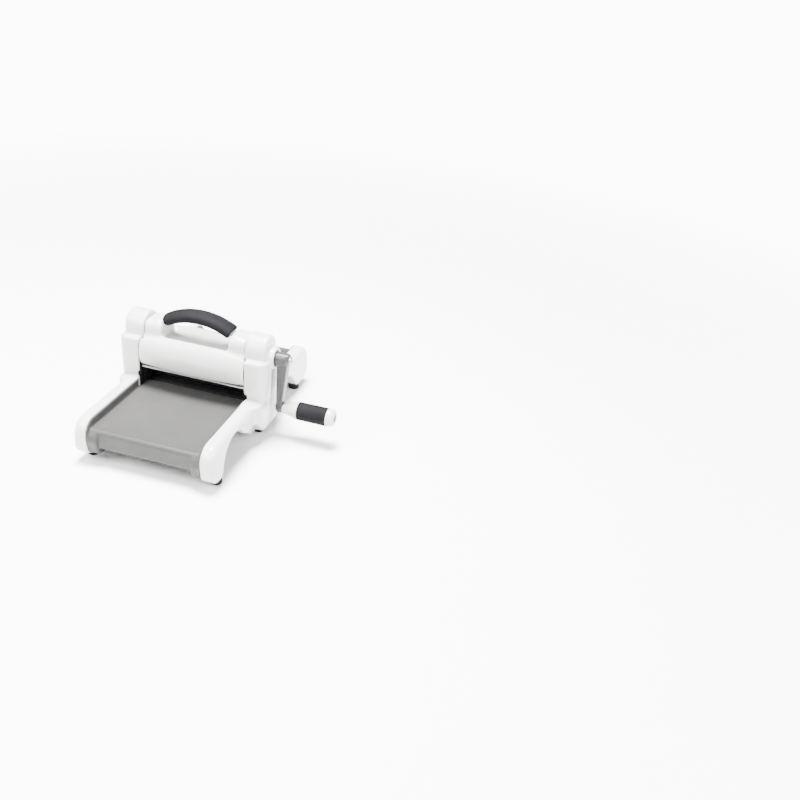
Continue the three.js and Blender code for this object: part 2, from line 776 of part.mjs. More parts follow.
// The round body the covers wrap, lying along X and swelling towards the middle.
function barrel(half, gap) {
  const rows = Array.from({ length: 11 }, (_, i) => {
    const x = (half * (i - 5)) / 5;
    return circle(0, COVER_Z, coverR(x) - gap, 40).map(([y, z]) => new THREE.Vector3(x, y, z));
  });
  return solid(skin(rows));
}

// The floor under the handle is a deep dish, its rims level with the tops of the covers.
const DISH_R = 30;
const saddle = () =>
  cut(
    barrel(FRAME_END, WALL + FIT).intersect(solid(block(-80, 80, -30, 30, FLOOR - 5, 140))),
    alongX(circle(0, FLOOR + DISH_R, DISH_R, 72), -80, 80),
  );

function handleFrame() {
  const post = solid(alongY(belt(postPulleys), -30, 30)).intersect(solid(alongX(belt(postSide), 0, 90)));
  const room = handleSweep(GRIP_HALF + FIT, GRIP_WIDE + FIT, GRIP_THICK + FIT);
  return cut(saddle().add(post).add(mirrored(post)), room).add(
    solid(handleSweep(GRIP_HALF + 6, CORE_WIDE, CORE_THICK)),
  );
}
add("handle_frame", handleFrame(), WHITE);
add(
  "handle_grip",
  cut(
    join(handleSweep(GRIP_HALF, GRIP_WIDE, GRIP_THICK)),
    handleSweep(GRIP_HALF + 2, CORE_WIDE + FIT, CORE_THICK + FIT),
  ),
  GRIP_GREY,
);

// ---------------------------------------------------------------- feet
const footNames = ["front", "middle", "rear"];
for (const [i, [x, y]] of footPlaces.entries()) {
  const top = (y ? LEG_BOTTOM : BASE_BOTTOM) - FIT;
  const foot = turnedZ(
    [
      [2.3, 3.5],
      [4.2, 3.5],
      [4.2, 0],
      [FOOT_R - 0.8, 0],
      [FOOT_R, 1],
      [FOOT_R, top],
      [2.3, top],
      [2.3, 3.5],
    ],
    x,
    y,
  );
  const screw = turnedZ(
    [
      [0, 1],
      [3.6, 1],
      [3.6, 3.2],
      [2, 3.2],
      [2, top + 3.4],
      [0, top + 3.4],
    ],
    x,
    y,
    16,
  );
  add(`${footNames[i]}_foot_right`, foot, RUBBER);
  add(`${footNames[i]}_foot_left`, mirrored(foot), RUBBER);
  add(`${footNames[i]}_foot_screw_right`, screw, STEEL);
  add(`${footNames[i]}_foot_screw_left`, mirrored(screw), STEEL);
}

// The part's origin is under the middle of its whole width, crank included.
machine.position.x = -(GRIP_END - OUTER) / 2;

export default machine;
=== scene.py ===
"""Looks for a hand-cranked die cutting machine, in a pale studio."""

import json
import math

import bmesh
import bpy
import numpy as np
import openvdb
from mathutils import Matrix, Vector


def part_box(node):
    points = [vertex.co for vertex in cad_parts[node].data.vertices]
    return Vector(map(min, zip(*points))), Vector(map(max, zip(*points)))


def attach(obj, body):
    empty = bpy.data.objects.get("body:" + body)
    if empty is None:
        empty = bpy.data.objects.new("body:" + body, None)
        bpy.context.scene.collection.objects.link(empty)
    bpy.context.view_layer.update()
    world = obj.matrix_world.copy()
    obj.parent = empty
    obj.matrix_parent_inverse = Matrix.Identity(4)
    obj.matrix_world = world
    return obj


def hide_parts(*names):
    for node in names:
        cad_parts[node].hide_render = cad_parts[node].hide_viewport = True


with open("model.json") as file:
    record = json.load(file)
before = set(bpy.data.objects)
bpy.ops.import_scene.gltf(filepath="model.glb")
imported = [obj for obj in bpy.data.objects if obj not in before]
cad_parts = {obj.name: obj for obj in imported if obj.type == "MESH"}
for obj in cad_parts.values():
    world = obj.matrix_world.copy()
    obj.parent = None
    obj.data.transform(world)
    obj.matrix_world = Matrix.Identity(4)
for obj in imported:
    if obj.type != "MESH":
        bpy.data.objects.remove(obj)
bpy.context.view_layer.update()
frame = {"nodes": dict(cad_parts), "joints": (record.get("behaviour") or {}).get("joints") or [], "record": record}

MM = 0.001
GAP = 0.3  # between pieces that fit together
WALL = 2.5  # of the mouldings
nodes = frame["nodes"]


def box_mm(node):
    low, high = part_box(node)
    return np.array(low) / MM, np.array(high) / MM


# ---------------------------------------------------------------- places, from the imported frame
# Shapes are worked out in millimetres with X = 0 on the machine's mid-plane.
tray_low, tray_high = box_mm("front_tray")
MID = (tray_low[0] + tray_high[0]) / 2
joint_at = {j["name"]: [c / MM for c in j["pos_m"]] for j in frame["joints"]}
CRANK_Z = joint_at["crank_spin"][2]
GRIP_Z = joint_at["grip_spin"][2]
UPPER_Z = joint_at["upper_roller_spin"][2]
LOWER_Z = joint_at["lower_roller_spin"][2]


def span(node, axis):
    low, high = box_mm(node)
    shift = MID if axis == 0 else 0
    return low[axis] - shift, high[axis] - shift


RAIL_OUT = tray_high[0] - MID
RAIL_TOP = tray_high[2]
HUB_FACE = span("right_side_housing", 0)[1]
SIDE = span("right_inner_panel", 0)[0] - GAP
NOSE = span("right_side_housing", 1)[1]
BASE_BOTTOM, HEAD_TOP = span("right_side_housing", 2)
ARM_TOP_OUT = span("crank_arm", 0)[1]
GRIP_END = span("grip_end_cap", 0)[1]
FRAME_END = span("handle_frame", 0)[1]

DECK = 51.5
LEG_TOP = RAIL_TOP + 1
LEG_IN, LEG_OUT = 81.0, 100.0
LEG_BOTTOM = 11.0
OUTER = 112.0
BODY_TOP = 125.0
HEAD_R, HEAD_Z = 21.5, 133.0
HEAD_IN, HEAD_OUT = 76.0, 105.5
HUB_R, HUB_BORE = 15.0, 10.7
TIE_Y, TIE_LOW, TIE_HIGH, TIE_R = 18, 20, 106, 3.5

# Sides of the grid cells that the mouldings are worked out on.
HOUSING_CELL = 1.0
TRAY_CELL = 1.0
HANDLE_CELL = 0.9
CRANK_CELL = 0.5


# ---------------------------------------------------------------- outlines
def belt(pulleys, step=math.radians(3)):
    """A belt round pulleys (u, v, r), anticlockwise. A pulley with r below 0 is a hollow."""
    headings = []
    for (au, av, ar), (bu, bv, br) in zip(pulleys, pulleys[1:] + pulleys[:1], strict=True):
        away = math.hypot(bu - au, bv - av)
        headings.append(math.atan2(bv - av, bu - au) + math.asin((ar - br) / away))
    points = []
    for i, (u, v, r) in enumerate(pulleys):
        start = headings[i - 1]
        turn = math.remainder(headings[i] - start, math.tau)
        if r > 0 and turn < -1e-9:
            turn += math.tau
        if r < 0 and turn > 1e-9:
            turn -= math.tau
        steps = max(1, math.ceil(abs(turn) / step))
        for k in range(steps + 1):
            heading = start + turn * k / steps
            points.append((u + r * math.sin(heading), v - r * math.cos(heading)))
    return points


def flipped(pulleys):
    return [(-u, v, r) for u, v, r in reversed(pulleys)]


def circle(u, v, r, sides=48):
    turns = [math.tau * k / sides for k in range(sides)]
    return [(u + r * math.cos(a), v + r * math.sin(a)) for a in turns]


def rounded(profile, radius, steps=4):
    """An open line of (a, b) or (a, b, own radius) with every inner corner turned into an arc."""
    made = [tuple(profile[0][:2])]
    for before, here, after in zip(profile, profile[1:], profile[2:], strict=False):
        p, q, r = (np.array(point[:2], float) for point in (before, here, after))
        into, out = p - q, r - q
        room = min(np.linalg.norm(into), np.linalg.norm(out)) * 0.48
        into, out = into / np.linalg.norm(into), out / np.linalg.norm(out)
        half = math.acos(float(np.clip(np.dot(into, out), -1, 1))) / 2
        wish = here[2] if len(here) > 2 else radius
        back = min(wish / math.tan(half), room) if half < math.pi / 2 - 1e-3 else 0
        if back < 1e-3:
            made.append(tuple(q))
            continue
        arc = back * math.tan(half)
        centre = q + (into + out) / np.linalg.norm(into + out) * (arc / math.sin(half))
        first, last = q + into * back - centre, q + out * back - centre
        angle = math.atan2(first[1], first[0])
        sweep = math.remainder(math.atan2(last[1], last[0]) - angle, math.tau)
        for k in range(steps + 1):
            at = angle + sweep * k / steps
            made.append((centre[0] + arc * math.cos(at), centre[1] + arc * math.sin(at)))
    made.append(tuple(profile[-1][:2]))
    return made


# ---------------------------------------------------------------- meshes
def new_object(name, mesh):
    made = bpy.data.objects.new(name, mesh)
    bpy.context.scene.collection.objects.link(made)
    return made


def mesh_from(name, points, faces, mirror=False):
    """points in millimetres on the mid-plane frame; mirror puts the piece on the other side."""
    co = np.array(points, float).reshape(-1, 3)
    if mirror:
        co[:, 0] *= -1
        faces = [tuple(reversed(f)) for f in faces]
    co[:, 0] += MID
    mesh = bpy.data.meshes.new(name)
    mesh.from_pydata((co * MM).tolist(), [], faces)
    mesh.validate()
    mesh.shade_smooth()
    return new_object(name, mesh)


def outward(made):
    """Turns every face outwards."""
    bm = bmesh.new()
    bm.from_mesh(made.data)
    bmesh.ops.recalc_face_normals(bm, faces=bm.faces)
    if bm.calc_volume(signed=True) < 0:
        bmesh.ops.reverse_faces(bm, faces=bm.faces)
    bm.to_mesh(made.data)
    bm.free()
    return made


def crease(made, degrees=30):
    made.data.shade_smooth()
    made.data.set_sharp_from_angle(angle=math.radians(degrees))
    return made


def weld(made, distance):
    """Joins points that lie within a distance in metres."""
    bm = bmesh.new()
    bm.from_mesh(made.data)
    bmesh.ops.remove_doubles(bm, verts=bm.verts, dist=distance)
    bm.to_mesh(made.data)
    bm.free()
    return made


def turned(name, profile, centre, axis="X", radius=0.4, segments=96, closed=False):
    """A profile of (distance from the axis, place along it) turned about an axis along X or Z."""
    line = rounded(profile, radius)
    rows = len(line)
    points, faces = [], []
    for r, along in line:
        for k in range(segments):
            a = math.tau * k / segments
            u, v = centre[0] + r * math.cos(a), centre[1] + r * math.sin(a)
            points.append((along, u, v) if axis == "X" else (u, v, along))
    rings = rows if closed else rows - 1
    for i in range(rings):
        a, b = i * segments, (i + 1) % rows * segments
        for k in range(segments):
            n = (k + 1) % segments
            faces.append((a + k, a + n, b + n, b + k))
    if not closed:
        faces.append(tuple(range(segments)))
        faces.append(tuple(range((rows - 1) * segments, rows * segments)))
    return crease(outward(weld(mesh_from(name, points, faces), 1e-6)), 40)


def skin(name, rows, angle=40):
    """A closed skin over rows of points, each row a closed loop."""
    count = len(rows[0])
    points = [p for row in rows for p in row]
    faces = []
    for i in range(len(rows) - 1):
        for j in range(count):
            n = (j + 1) % count
            faces.append((i * count + j, i * count + n, (i + 1) * count + n, (i + 1) * count + j))
    faces.append(tuple(range(count)))
    faces.append(tuple(range((len(rows) - 1) * count, len(rows) * count)))
    return crease(outward(mesh_from(name, points, faces)), angle)


def plate(name, outline, x0, x1, holes=(), edge=0.5, mirror=False):
    """A flat piece across X with its outline and holes in (y, z) and a rounded edge."""
    curve = bpy.data.curves.new(name, "CURVE")
    curve.dimensions = "2D"
    curve.fill_mode = "BOTH"
    curve.extrude = ((x1 - x0) / 2 - edge) * MM
    curve.bevel_depth = edge * MM
    curve.bevel_resolution = 3
    curve.offset = -edge * MM
    for loop in (outline, *holes):
        line = curve.splines.new("POLY")
        line.points.add(len(loop) - 1)
        line.use_cyclic_u = True
        for point, (y, z) in zip(line.points, loop, strict=True):
            point.co = (y * MM, z * MM, 0, 1)
    holder = bpy.data.objects.new(name, curve)
    bpy.context.scene.collection.objects.link(holder)
    bpy.context.view_layer.update()
    solved = holder.evaluated_get(bpy.context.evaluated_depsgraph_get())
    mesh = bpy.data.meshes.new_from_object(solved)
    bpy.data.objects.remove(holder)
    bpy.data.curves.remove(curve)
    co = np.empty(len(mesh.vertices) * 3)
    mesh.vertices.foreach_get("co", co)
    y, z, across = co.reshape(-1, 3).T / MM
    x = across + (x0 + x1) / 2
    faces = [tuple(p.vertices) for p in mesh.polygons]
    bpy.data.meshes.remove(mesh)
    made = mesh_from(name, np.stack([x, y, z], 1), faces, mirror)
    return crease(outward(weld(made, 2e-6)), 30)


# ---------------------------------------------------------------- moulded shapes as distance fields
class Space:
    """A grid of points in millimetres. Distances below 0 are inside."""

    def __init__(self, low, high, step):
        self.low = np.array(low, float)
        self.step = step
        self.axes = [np.arange(a, b + step, step) for a, b in zip(low, high, strict=True)]
        self.x = self.axes[0][:, None, None]
        self.y = self.axes[1][None, :, None]
        self.z = self.axes[2][None, None, :]

    def across(self, points, plane):
        """Distance from an outline in plane "yz", "xz" or "xy", the same along the third axis."""
        first, second = ("xyz".index(c) for c in plane)
        u, v = np.meshgrid(self.axes[first], self.axes[second], indexing="ij")
        best = np.full(u.shape, 1e9)
        inside = np.zeros(u.shape, bool)
        for (au, av), (bu, bv) in zip(points, points[1:] + points[:1], strict=True):
            eu, ev = bu - au, bv - av
            t = np.clip(((u - au) * eu + (v - av) * ev) / (eu * eu + ev * ev + 1e-12), 0, 1)
            best = np.minimum(best, (u - au - eu * t) ** 2 + (v - av - ev * t) ** 2)
            if ev:
                inside ^= ((av <= v) != (bv <= v)) & (u < au + (v - av) / ev * eu)
        flat = np.where(inside, -1, 1) * np.sqrt(best)
        return np.expand_dims(flat, 3 - first - second)

    def rod_x(self, y, z, r):
        return np.hypot(self.y - y, self.z - z) - r

    def mesh(self, name, distance, mirror=False):
        reach = 3 * self.step
        field = np.clip(distance, -reach, reach).astype(np.float32)
        grid = openvdb.FloatGrid(reach)
        grid.copyFromArray(np.ascontiguousarray(field))
        points, quads = grid.convertToQuads(0.0)
        co = points * self.step + self.low
        if mirror:
            co[:, 0] *= -1
        co[:, 0] += MID
        data = bpy.data.meshes.new(name)
        data.vertices.add(len(co))
        data.vertices.foreach_set("co", (co * MM).astype(np.float32).ravel())
        data.loops.add(quads.size)
        data.loops.foreach_set("vertex_index", quads.astype(np.int32).ravel())
        data.polygons.add(len(quads))
        data.polygons.foreach_set("loop_start", np.arange(0, quads.size, 4, dtype=np.int32))
        data.update(calc_edges=True)
        data.validate()
        data.shade_smooth()
        return outward(new_object(name, data))


def both(a, b, k=0.0):
    """Inside both shapes, the edge between them rounded over about k."""
    if not k:
        return np.maximum(a, b)
    blend = np.clip(0.5 - 0.5 * (b - a) / k, 0, 1)
    return b + (a - b) * blend + k * blend * (1 - blend)


def either(a, b, k=0.0):
    """Inside one shape or the other, the corner between them filled over about k."""
    return -both(-a, -b, k)


def slab(outline, low, high, r_low, r_high):
    """An outline's distance between the faces low and high, each edge rounded to its radius."""
    made = None
    for face, r in ((low, r_low), (high, r_high)):
        a, b = outline + r, face + r
        edge = np.minimum(np.maximum(a, b), 0) + np.hypot(np.maximum(a, 0), np.maximum(b, 0)) - r
        made = edge if made is None else np.maximum(made, edge)
    return made


# ---------------------------------------------------------------- side housings
front_leg = [
    (-NOSE + 18, LEG_BOTTOM + 16, 16),
    (-NOSE + 26, LEG_BOTTOM + 6, 6),
    (-99, 11.5, -39.5),
    (-60, 35, 4),
]
rear_leg = [
    (60, 35, 4),
    (88, 11.5, -30),
    (130, LEG_BOTTOM + 6, 6),
    (NOSE - 18, LEG_BOTTOM + 16, 16),
]
nose_top = (-NOSE + 22, LEG_TOP - 22, 22)
leg_outline = belt(front_leg + rear_leg + flipped([nose_top]) + [nose_top])

COLUMN_R = 16.5
SHOULDER_R = 6
TOWER_LOW = 56
BARREL_R = 90
BASE_OUT = 109
BASE_HALF = 48
tower = {
    "xy": [
        (SIDE + 1, -2 * COLUMN_R + 1, 1),
        (OUTER - COLUMN_R, -COLUMN_R, COLUMN_R),
        (OUTER - 2.8, 0, -4),
        (OUTER - COLUMN_R, COLUMN_R, COLUMN_R),
        (SIDE + 1, 2 * COLUMN_R - 1, 1),
    ],
    "yz": [
        (-24, TOWER_LOW + 3, 3),
        (24, TOWER_LOW + 3, 3),
        (33 - BARREL_R, 92, BARREL_R),
        (32 - SHOULDER_R, BODY_TOP - SHOULDER_R, SHOULDER_R),
        (-32 + SHOULDER_R, BODY_TOP - SHOULDER_R, SHOULDER_R),
        (BARREL_R - 33, 92, BARREL_R),
    ],
    "xz": [
        (SIDE + 3, TOWER_LOW + 3, 3),
        (OUTER - 9, TOWER_LOW + 3, 3),
        (OUTER - BARREL_R, 92, BARREL_R),
        (OUTER - 2 - SHOULDER_R, BODY_TOP - SHOULDER_R, SHOULDER_R),
        (SIDE + 3, BODY_TOP - 3, 3),
    ],
}
base = {
    "xy": [
        (SIDE + 6, 6 - BASE_HALF, 6),
        (BASE_OUT - 16, 16 - BASE_HALF, 16),
        (BASE_OUT - 14, -14, 14),
        (BASE_OUT - 1, 0, -4),
        (BASE_OUT - 14, 14, 14),
        (BASE_OUT - 16, BASE_HALF - 16, 16),
        (SIDE + 6, BASE_HALF - 6, 6),
    ],
    "yz": [
        (-2, BASE_BOTTOM + 27, 27),
        (2, BASE_BOTTOM + 27, 27),
        (BASE_HALF - 12, BASE_BOTTOM + 40, 12),
        (BASE_HALF - 5, LEG_TOP - 5, 5),
        (5 - BASE_HALF, LEG_TOP - 5, 5),
        (12 - BASE_HALF, BASE_BOTTOM + 40, 12),
    ],
    "xz": [
        (LEG_IN + 3, BASE_BOTTOM + 3, 3),
        (BASE_OUT - 18, BASE_BOTTOM + 18, 18),
        (BASE_OUT - 6, LEG_TOP - 6, 6),
        (LEG_IN + 3, LEG_TOP - 3, 3),
    ],
}
head_outline = belt(
    [
        (-HEAD_R + 4, BODY_TOP - 8, 4),
        (HEAD_R - 4, BODY_TOP - 8, 4),
        (0.01, HEAD_Z, HEAD_R),
        (-0.01, HEAD_Z, HEAD_R),
    ]
)
inner_wall = belt(
    [
        (-24, BASE_BOTTOM + 9, 9),
        (24, BASE_BOTTOM + 9, 9),
        (24, 80, 4),
        (-24, 80, 4),
    ]
)
inner_door = [(-24, 18, 6), (24, 18, 6), (24, 112, 6), (-24, 112, 6)]


def moulded(space, outlines, k):
    """What lies inside every outline, with the edges between them rounded over about k."""
    made = None
    for plane, pulleys in outlines.items():
        face = space.across(belt(pulleys), plane)
        made = face if made is None else both(made, face, k)
    return made


def housing(name, has_hub, mirror):
    """A hollow tower with its head and legs, open towards the rollers."""
    low = (HEAD_IN - 3, -NOSE - 3, BASE_BOTTOM - 3)
    high = (HUB_FACE + 3, NOSE + 3, HEAD_TOP + 3)
    space = Space(low, high, HOUSING_CELL)
    x = space.x
    up = np.clip((space.z - 22) / 30, 0, 1)  # the legs' outer edge is rounder at the top
    leg = slab(space.across(leg_outline, "yz"), LEG_IN - x, x - LEG_OUT, 1.2, 3.5 + 6.5 * up)
    body = moulded(space, tower, 2.5)
    bottom = moulded(space, base, 3)
    wall = slab(space.across(inner_wall, "yz"), SIDE - x, x - (LEG_IN + 8), 1, 1)
    head = slab(space.across(head_outline, "yz"), HEAD_IN - x, x - HEAD_OUT, 1.0, 4.5)
    outside = either(leg, bottom, 2.5)
    outside = either(outside, wall, 1)
    outside = either(outside, body, 2.5)
    outside = either(outside, head, 1.8)
    if has_hub:
        ring = slab(space.rod_x(0, CRANK_Z, HUB_R), HEAD_OUT - 12 - x, x - HUB_FACE, 1, 1.6)
        outside = either(outside, ring, 4)
    rooms = either(either(bottom, body), either(head, wall)) + WALL
    made = both(outside, -rooms)
    doorway = space.across(belt(inner_door), "yz")
    door = slab(doorway, SIDE - 6 - x, x - (SIDE + 2 * WALL), 0.1, 0.1)
    made = both(made, -door)
    if has_hub:
        shaft = space.rod_x(0, CRANK_Z, HUB_BORE)
        bore = slab(shaft, HEAD_OUT - 14 - x, x - HUB_FACE - 5, 0.1, 0.1)
        made = both(made, -bore, 1.2)
    return space.mesh(name, made, mirror)


def make_housings():
    thick = 1.6
    holes = [circle(0, z, 12) for z in (LOWER_Z, UPPER_Z)]
    for y in (-TIE_Y, TIE_Y):
        holes += [circle(y, z, TIE_R + GAP, 24) for z in (TIE_LOW, TIE_HIGH)]
    for side, has_hub in (("right", True), ("left", False)):
        shell = housing(f"{side}_tower_shell", has_hub, side == "left")
        finish(shell, "housing", "white_body", white, f"{side}_side_housing")
        # The inner wall is black: partly the dark side plates of the real machine, partly painted shade so that
        # the slot between the towers reads dark.
        panel = plate(
            f"{side}_inner_wall",
            belt([(u, v, r - GAP) for u, v, r in inner_door]),
            SIDE + GAP,
            SIDE + GAP + thick,
            holes,
            0.3,
            side == "left",
        )
        finish(panel, "housing", "black_plastic", black, f"{side}_inner_panel")


# ---------------------------------------------------------------- covers, guide bars, handle
COVER_Z = 103
COVER_R, COVER_BOW = 33.6, 3.6
COVER_LOW, COVER_HIGH, COVER_RISE = -0.56, 0.64, 0.2  # radians up from the front


def bow(x):
    """1 on the mid-plane and 0 at the towers."""
    return 1 - (x / SIDE) ** 2


def cover_r(x):
    return COVER_R + COVER_BOW * bow(x)


def cover(name, back):
    """A bowed panel with a rolled edge, thinner towards its rim."""
    half = SIDE - 0.1
    along, round_it, round_rim = 96, 40, 8
    rows = []
    for i in range(along + 1):
        x = -half + 2 * half * i / along
        high = COVER_HIGH + COVER_RISE * bow(x)
        pull = 0.9 * max(0, (abs(x) - half + 1.2) / 1.2) ** 2
        r = cover_r(x) - pull
        middle = r - WALL / 2
        rim = WALL / 2 / r
        arc = high - COVER_LOW - 2 * rim
        steps = [arc * k / round_it for k in range(round_it + 1)]
        turns = [math.pi * k / round_rim for k in range(1, round_rim)]
        row = [(r, COVER_LOW + rim + step) for step in steps]
        row += [(middle + WALL / 2 * math.cos(t), high - rim + rim * math.sin(t)) for t in turns]
        row += [(r - WALL + 2 * pull, high - rim - step) for step in steps]
        low = COVER_LOW + rim
        row += [(middle - WALL / 2 * math.cos(t), low - rim * math.sin(t)) for t in turns]
        rows.append([(x, -d * math.cos(a), COVER_Z + d * math.sin(a)) for d, a in row])
    if back:
        rows = [[(-x, -y, z) for x, y, z in row] for row in rows]
    return skin(name, rows, angle=50)


def bar(name, y0, y1, z0, z1, half, edge, back):
    """A straight moulded strip across the machine with rounded edges."""
    section = belt(
        [
            (y0 + edge, z0 + edge, edge),
            (y1 - edge, z0 + edge, edge),
            (y1 - edge, z1 - edge, edge),
            (y0 + edge, z1 - edge, edge),
        ],
        math.radians(15),
    )
    sign = -1 if back else 1
    rows = [[(x, sign * y, z) for y, z in section] for x in np.linspace(-half, half, 17)]
    return skin(name, rows)


ARCH_R = 95
ARCH_TOP = 161
ARCH_Z = ARCH_TOP - ARCH_R
GRIP_HALF = 48.5
GRIP_WIDE, GRIP_THICK = 14.5, 8.5
CORE_WIDE, CORE_THICK = 8.0, 4.0
FLOOR = 121
DISH_R = 30
post_pulleys = [
    (FRAME_END - 4, FLOOR - 1, 4),
    (FRAME_END - 4, 144, 4),
    (58, 143, 8),
    (38, FLOOR + 12, -12),
    (36, FLOOR - 2.5, 2.5),
]
post_side = [(-15, FLOOR, 5), (15, FLOOR, 5), (5, 136, 15), (-5, 136, 15)]


def arch(space, wide, thick, reach):
    """Distance from an oval section swept along the handle's arc."""
    out = np.hypot(space.x, space.z - ARCH_Z) - ARCH_R
    along = np.arctan2(space.x, space.z - ARCH_Z) * ARCH_R
    oval = (np.hypot(space.y / wide, out / thick) - 1) * min(wide, thick)
    end = math.asin(reach / ARCH_R) * ARCH_R
    return slab(oval, along - end, -along - end, 0.5, 0.5)


def handle_frame(name):
    """The scooped saddle over the covers, its two posts and the core of the handle."""
    space = Space((-FRAME_END - 3, -36, FLOOR - 9), (FRAME_END + 3, 36, 158), HANDLE_CELL)
    x, y, z = space.x, space.y, space.z
    barrel = np.hypot(y, z - COVER_Z) - (cover_r(np.clip(x, -SIDE, SIDE)) - WALL - GAP)
    dish = DISH_R - np.hypot(y, z - FLOOR - DISH_R)
    saddle = both(both(barrel, dish, 0.8), FLOOR - 5 - z, 0.8)
    saddle = both(saddle, np.abs(x) - FRAME_END, 0.8)
    outline = space.across(belt(post_pulleys), "xz")
    side = space.across(belt(post_side), "yz")
    post = both(np.minimum(outline, outline[::-1]), side, 4)
    made = either(saddle, post, 3)
    room = arch(space, GRIP_WIDE + GAP, GRIP_THICK + GAP, GRIP_HALF + GAP)
    made = both(made, -room, 0.6)
    made = either(made, arch(space, CORE_WIDE, CORE_THICK, GRIP_HALF + 6))
    return space.mesh(name, made)


def handle_grip(name):
    """The soft sleeve: an oval tube on the arc, with softened ends and a bore for the core."""
    end = math.asin(GRIP_HALF / ARCH_R)
    steps, sides = 96, 64
    lip = 0.02  # radians of the arc over which the ends soften
    rows = []

    def ring(along, wide, thick):
        row = []
        for k in range(sides):
            a = math.tau * k / sides
            c, s = math.cos(a), math.sin(a)
            u = wide * math.copysign(abs(c) ** 0.9, c)
            v = thick * math.copysign(abs(s) ** 0.9, s)
            out = ARCH_R + v
            row.append((out * math.sin(along), u, ARCH_Z + out * math.cos(along)))
        return row

    for i in range(steps + 1):
        along = -end + 2 * end * i / steps
        near = min(end - along, along + end)
        soft = 1.1 * max(0, 1 - near / lip) ** 2
        rows.append(ring(along, GRIP_WIDE - soft, GRIP_THICK - soft))
    for i in range(steps, -1, -1):
        along = -end + 2 * end * i / steps
        rows.append(ring(along, CORE_WIDE + GAP, CORE_THICK + GAP))
    points = [p for row in rows for p in row]
    faces = []
    for i in range(len(rows)):
        a, b = i * sides, (i + 1) % len(rows) * sides
        for j in range(sides):
            n = (j + 1) % sides
            faces.append((a + j, a + n, b + n, b + j))
    return crease(outward(mesh_from(name, points, faces)), 40)


def make_top():
    low, high = span("front_guide_bar", 2)
    near, far = span("front_guide_bar", 1)
    for place, back in (("front", False), ("rear", True)):
        panel = cover(f"{place}_bowed_cover", back)
        finish(panel, "housing", "white_body", white, f"{place}_cover")
        strip = bar(f"{place}_guide_strip", near, far, low, high, SIDE - GAP, 1.0, back)
        finish(strip, "housing", "white_body", white, f"{place}_guide_bar")
    finish(handle_frame("handle_saddle"), "housing", "white_body", white, "handle_frame")
    finish(handle_grip("handle_soft_grip"), "housing", "grip_grey", soft_grey, "handle_grip")


# ---------------------------------------------------------------- trays
RAIL_IN = RAIL_OUT - 2
CHEEK_IN = 66
CHEEK_LOW = LEG_BOTTOM + 2
DECK_SIDE = SIDE - GAP
DECK_EDGE = 12.5
SKIRT_Y = NOSE - 6.5
SKIRT_LOW = 27
TOWER_FRONT = 36  # the trays are narrower from here inwards
CHEEK_BACK = 131
cheek_outline = belt(
    [
        (-NOSE + 18, CHEEK_LOW + 15, 15),
        (-NOSE + 26, CHEEK_LOW + 6, 6),
        (-CHEEK_BACK, DECK - 12, 3),
        (-CHEEK_BACK, DECK - 3, 3),
        (-NOSE + 16, DECK - 14, 15),
    ]
)
deck_section = [
    (-SKIRT_Y + 5, DECK - 3),
    (-SKIRT_Y + 2.5, DECK - 5),
    (-SKIRT_Y + 2.5, SKIRT_LOW),
    (-SKIRT_Y, SKIRT_LOW),
    (-SKIRT_Y, DECK - 4.5),
    (-SKIRT_Y + 0.8, DECK - 1.4),
    (-SKIRT_Y + 3, DECK + 0.8),
    (-SKIRT_Y + 6, DECK + 1.2),
    (-SKIRT_Y + 9, DECK),
    (-DECK_EDGE, DECK),
    (-DECK_EDGE, DECK - 3),
]


def tray(name, back):
    """The front tray, or the same tray turned half round for the rear."""
    low = (-RAIL_OUT - 3, -NOSE - 2, CHEEK_LOW - 3)
    high = (RAIL_OUT + 3, -DECK_EDGE + 3, RAIL_TOP + 3)
    space = Space(low, high, TRAY_CELL)
    x, y, z = np.abs(space.x), space.y, space.z
    section = space.across(deck_section, "yz")
    deck = both(section, x - DECK_SIDE, 0.6)
    wide = both(both(section, x - RAIL_OUT, 0.6), y + TOWER_FRONT, 0.6)
    leg = space.across(leg_outline, "yz") + 0.6
    rail = slab(leg, RAIL_IN - x, x - RAIL_OUT, 0.7, 0.5)
    rail = both(both(rail, y + TOWER_FRONT, 0.6), z - RAIL_TOP, 0.6)
    rail = both(rail, np.minimum(DECK - 3 - z, y + CHEEK_BACK), 0.6)
    end = space.across(cheek_outline, "yz")
    cheek = slab(end, CHEEK_IN - x, x - RAIL_OUT, 3.5, 0.5)
    room = slab(end + WALL, CHEEK_IN + WALL - x, x - RAIL_OUT + WALL, 0.5, 0.5)
    mouth = both(np.abs(y + 146) - 6, z - CHEEK_LOW - 9)
    mouth = both(mouth, np.abs(x - (CHEEK_IN + RAIL_OUT) / 2) - 4.5)
    cheek = both(both(cheek, -room), -mouth, 0.5)
    made = either(either(deck, wide, 0.5), rail, 2.2)
    made = either(made, cheek, 1.6)
    for place in (-40, 0, 40):
        rib = both(np.abs(space.x - place) - 1, both(DECK - 10 - z, z - DECK + 1), 0.5)
        made = either(made, both(rib, np.maximum(-SKIRT_Y + 1 - y, y + 20)), 0.6)
    for place, deep in ((-19.5, 20), (-60, 10), (-110, 10)):
        rib = both(np.abs(y - place) - 1, both(DECK - deep - z, z - DECK + 1), 0.5)
        made = either(made, both(rib, x - DECK_SIDE, 0.5), 0.6)
    made = space.mesh(name, made)
    if back:
        middle = Matrix.Translation((MID * MM, 0, 0))
        made.data.transform(middle @ Matrix.Rotation(math.pi, 4, "Z") @ middle.inverted())
    return made


def make_trays():
    for place, back in (("front", False), ("rear", True)):
        finish(tray(f"{place}_feed_tray", back), "housing", "tray_grey", tray_grey, f"{place}_tray")


